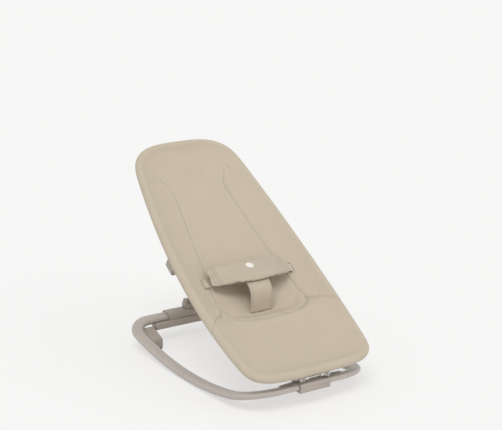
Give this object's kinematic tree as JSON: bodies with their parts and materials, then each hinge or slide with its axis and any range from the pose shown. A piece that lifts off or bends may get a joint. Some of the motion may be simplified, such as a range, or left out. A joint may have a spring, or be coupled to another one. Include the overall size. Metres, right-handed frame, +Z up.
{
  "type": "bouncer seat",
  "caption": "Infant bouncer seat: padded sling with waist belt on a bent tube frame that hinges and folds on a rocking floor loop.",
  "frame": {"origin": "centre of the object's box in plan, at floor level", "axes": "+Z up, +Y towards the head end, +X across the seat; the seat is mirror symmetric across X"},
  "size_m": [0.4174, 0.69, 0.5344],
  "materials": {
    "seat_fabric": "matt warm sand knitted cover with tone-on-tone stitching",
    "webbing": "matt woven webbing",
    "emblem": "plain satin-stitched off-white oval",
    "frame_tube": "satin warm light grey powder coat",
    "frame_plastic": "fine-textured taupe moulding",
    "pale_plastic": "smooth off-white moulding",
    "rubber": "matt dark grey",
    "steel": "zinc plated"
  },
  "bodies": {
    "base": {"base_tube": "frame_tube", "floor_pad_left": "rubber", "floor_pad_right": "rubber", "hinge_block_lower": "frame_plastic", "hinge_block_upper": "frame_plastic", "hinge_axle": "steel", "hinge_screw_left": "steel", "hinge_screw_right": "steel", "hinge_ear_left": "steel", "hinge_ear_right": "steel", "axle_cap_left": "steel", "axle_cap_right": "steel", "axle_bush_left": "pale_plastic", "axle_bush_right": "pale_plastic", "rear_housing": "frame_plastic", "rear_clamp": "frame_plastic", "leg_cradle": "frame_plastic", "clamp_screw_left": "steel", "clamp_screw_right": "steel", "stand_pin_left": "steel", "stand_pin_right": "steel"},
    "seat": {"seat_tube": "frame_tube", "seat_cover": "seat_fabric", "seat_bracket": "frame_plastic", "crossbar": "frame_tube", "crossbar_clamp_left": "frame_plastic", "crossbar_clamp_right": "frame_plastic", "leg_collar_left": "frame_plastic", "leg_collar_right": "frame_plastic", "waist_belt": "seat_fabric", "crotch_strap": "seat_fabric", "belt_emblem": "emblem", "side_strap_left": "webbing", "side_strap_right": "webbing", "strap_slider_left": "frame_plastic", "strap_slider_right": "frame_plastic"},
    "support_leg": {"leg_knuckle": "frame_plastic", "leg_tube": "frame_tube", "leg_foot": "frame_plastic", "button_spring": "steel"},
    "release_button": {"release_button": "pale_plastic"},
    "latch_bolt": {"latch_bolt": "steel"},
    "stand_left": {"stand_foot_left": "frame_plastic", "stand_pad_left": "rubber"},
    "stand_right": {"stand_foot_right": "frame_plastic", "stand_pad_right": "rubber"}
  },
  "joints": [
    {"name": "seat_fold", "type": "hinge", "parent": "base", "child": "seat", "pos_m": [0, -0.3235, 0.07152], "axis": [-1, 0, 0], "range_deg": [0, 25]},
    {"name": "leg_fold", "type": "hinge", "parent": "seat", "child": "support_leg", "pos_m": [0, 0.07229, 0.272], "axis": [1, 0, 0], "range_deg": [0, 78]},
    {"name": "button_press", "type": "slide", "parent": "support_leg", "child": "release_button", "axis": [0, -0.6997, -0.7144], "range_m": [0, 0.004], "stiffness_N_per_m": 400, "deforming": ["button_spring"]},
    {"name": "bolt_lift", "type": "slide", "parent": "support_leg", "child": "latch_bolt", "axis": [0, 0, 1], "range_m": [0, 0.004]},
    {"name": "stand_flip_left", "type": "hinge", "parent": "base", "child": "stand_left", "pos_m": [0, 0.2489, 0.03974], "axis": [-1, 0, 0], "range_deg": [0, 40]},
    {"name": "stand_flip_right", "type": "hinge", "parent": "base", "child": "stand_right", "pos_m": [0, 0.2489, 0.03974], "axis": [-1, 0, 0], "range_deg": [0, 40]}
  ],
  "couplings": [
    {"joint": "leg_fold", "follows": "seat_fold", "ratio": 3.1},
    {"joint": "bolt_lift", "follows": "button_press", "ratio": 1}
  ]
}
